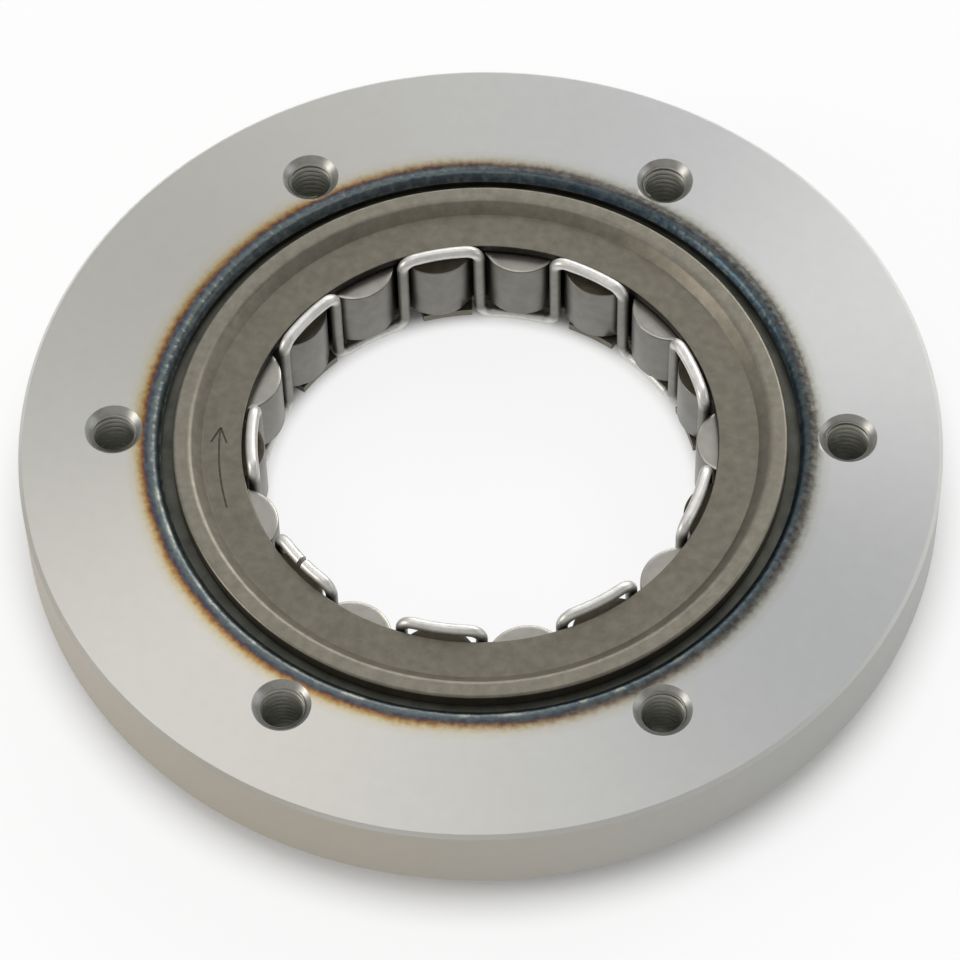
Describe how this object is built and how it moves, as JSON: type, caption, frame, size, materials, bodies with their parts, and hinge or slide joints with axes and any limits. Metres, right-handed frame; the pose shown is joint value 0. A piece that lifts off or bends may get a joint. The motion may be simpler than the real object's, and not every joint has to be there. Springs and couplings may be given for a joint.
{
  "type": "starter clutch",
  "caption": "One-way roller clutch in a round bolt-on flange: a hub turns freely in its rollers one way and locks the other, with a bent wire cage between the rollers.",
  "frame": {"origin": "centre of the flange's front face, on the axis of the mounting hole circle", "axes": "+Z out of the front face along the clutch's axis; +X through one mounting hole"},
  "size_m": [0.124, 0.124, 0.0158],
  "materials": {
    "flange_steel": "satin machined steel, pale warm grey, faint turning marks",
    "weld_metal": "rippled weld bead, heat tinted dark blue to brown",
    "race_steel": "hardened steel, dark olive grey, thinly oiled",
    "cover_steel": "pressed steel, phosphated, matt grey brown with faint mottling",
    "spring_wire": "bright drawn spring wire",
    "roller_steel": "ground hardened steel, satin grey"
  },
  "bodies": {
    "housing": {"flange": "flange_steel", "weld_bead": "weld_metal", "outer_ring": "race_steel", "front_cover": "cover_steel", "rear_cover": "cover_steel"},
    "cage": {"cage_spring": "spring_wire"},
    "roller_01": {"roller_01": "roller_steel"},
    "roller_02": {"roller_02": "roller_steel"},
    "roller_03": {"roller_03": "roller_steel"},
    "roller_04": {"roller_04": "roller_steel"},
    "roller_05": {"roller_05": "roller_steel"},
    "roller_06": {"roller_06": "roller_steel"},
    "roller_07": {"roller_07": "roller_steel"},
    "roller_08": {"roller_08": "roller_steel"},
    "roller_09": {"roller_09": "roller_steel"},
    "roller_10": {"roller_10": "roller_steel"},
    "roller_11": {"roller_11": "roller_steel"},
    "roller_12": {"roller_12": "roller_steel"},
    "roller_13": {"roller_13": "roller_steel"},
    "roller_14": {"roller_14": "roller_steel"},
    "roller_15": {"roller_15": "roller_steel"},
    "roller_16": {"roller_16": "roller_steel"},
    "roller_17": {"roller_17": "roller_steel"},
    "roller_18": {"roller_18": "roller_steel"}
  },
  "joints": [
    {"name": "cage_shift", "type": "hinge", "parent": "housing", "child": "cage", "pos_m": [0, 0, -0.0077], "axis": [0, 0, -1], "range_deg": [0, 2.5], "stiffness_Nm_per_rad": 0.4},
    {"name": "roller_01_spin", "type": "hinge", "parent": "cage", "child": "roller_01", "pos_m": [0.03453, 0.00109, -0.0077], "axis": [0, 0, 1], "continuous": true},
    {"name": "roller_02_spin", "type": "hinge", "parent": "cage", "child": "roller_02", "pos_m": [0.03208, 0.01283, -0.0077], "axis": [0, 0, 1], "continuous": true},
    {"name": "roller_03_spin", "type": "hinge", "parent": "cage", "child": "roller_03", "pos_m": [0.02576, 0.02303, -0.0077], "axis": [0, 0, 1], "continuous": true},
    {"name": "roller_04_spin", "type": "hinge", "parent": "cage", "child": "roller_04", "pos_m": [0.01633, 0.03045, -0.0077], "axis": [0, 0, 1], "continuous": true},
    {"name": "roller_05_spin", "type": "hinge", "parent": "cage", "child": "roller_05", "pos_m": [0.00493, 0.0342, -0.0077], "axis": [0, 0, 1], "continuous": true},
    {"name": "roller_06_spin", "type": "hinge", "parent": "cage", "child": "roller_06", "pos_m": [-0.00707, 0.03382, -0.0077], "axis": [0, 0, 1], "continuous": true},
    {"name": "roller_07_spin", "type": "hinge", "parent": "cage", "child": "roller_07", "pos_m": [-0.01821, 0.02936, -0.0077], "axis": [0, 0, 1], "continuous": true},
    {"name": "roller_08_spin", "type": "hinge", "parent": "cage", "child": "roller_08", "pos_m": [-0.02715, 0.02137, -0.0077], "axis": [0, 0, 1], "continuous": true},
    {"name": "roller_09_spin", "type": "hinge", "parent": "cage", "child": "roller_09", "pos_m": [-0.03282, 0.01079, -0.0077], "axis": [0, 0, 1], "continuous": true},
    {"name": "roller_10_spin", "type": "hinge", "parent": "cage", "child": "roller_10", "pos_m": [-0.03453, -0.00109, -0.0077], "axis": [0, 0, 1], "continuous": true},
    {"name": "roller_11_spin", "type": "hinge", "parent": "cage", "child": "roller_11", "pos_m": [-0.03208, -0.01283, -0.0077], "axis": [0, 0, 1], "continuous": true},
    {"name": "roller_12_spin", "type": "hinge", "parent": "cage", "child": "roller_12", "pos_m": [-0.02576, -0.02303, -0.0077], "axis": [0, 0, 1], "continuous": true},
    {"name": "roller_13_spin", "type": "hinge", "parent": "cage", "child": "roller_13", "pos_m": [-0.01633, -0.03045, -0.0077], "axis": [0, 0, 1], "continuous": true},
    {"name": "roller_14_spin", "type": "hinge", "parent": "cage", "child": "roller_14", "pos_m": [-0.00493, -0.0342, -0.0077], "axis": [0, 0, 1], "continuous": true},
    {"name": "roller_15_spin", "type": "hinge", "parent": "cage", "child": "roller_15", "pos_m": [0.00707, -0.03382, -0.0077], "axis": [0, 0, 1], "continuous": true},
    {"name": "roller_16_spin", "type": "hinge", "parent": "cage", "child": "roller_16", "pos_m": [0.01821, -0.02936, -0.0077], "axis": [0, 0, 1], "continuous": true},
    {"name": "roller_17_spin", "type": "hinge", "parent": "cage", "child": "roller_17", "pos_m": [0.02715, -0.02137, -0.0077], "axis": [0, 0, 1], "continuous": true},
    {"name": "roller_18_spin", "type": "hinge", "parent": "cage", "child": "roller_18", "pos_m": [0.03282, -0.01079, -0.0077], "axis": [0, 0, 1], "continuous": true}
  ]
}
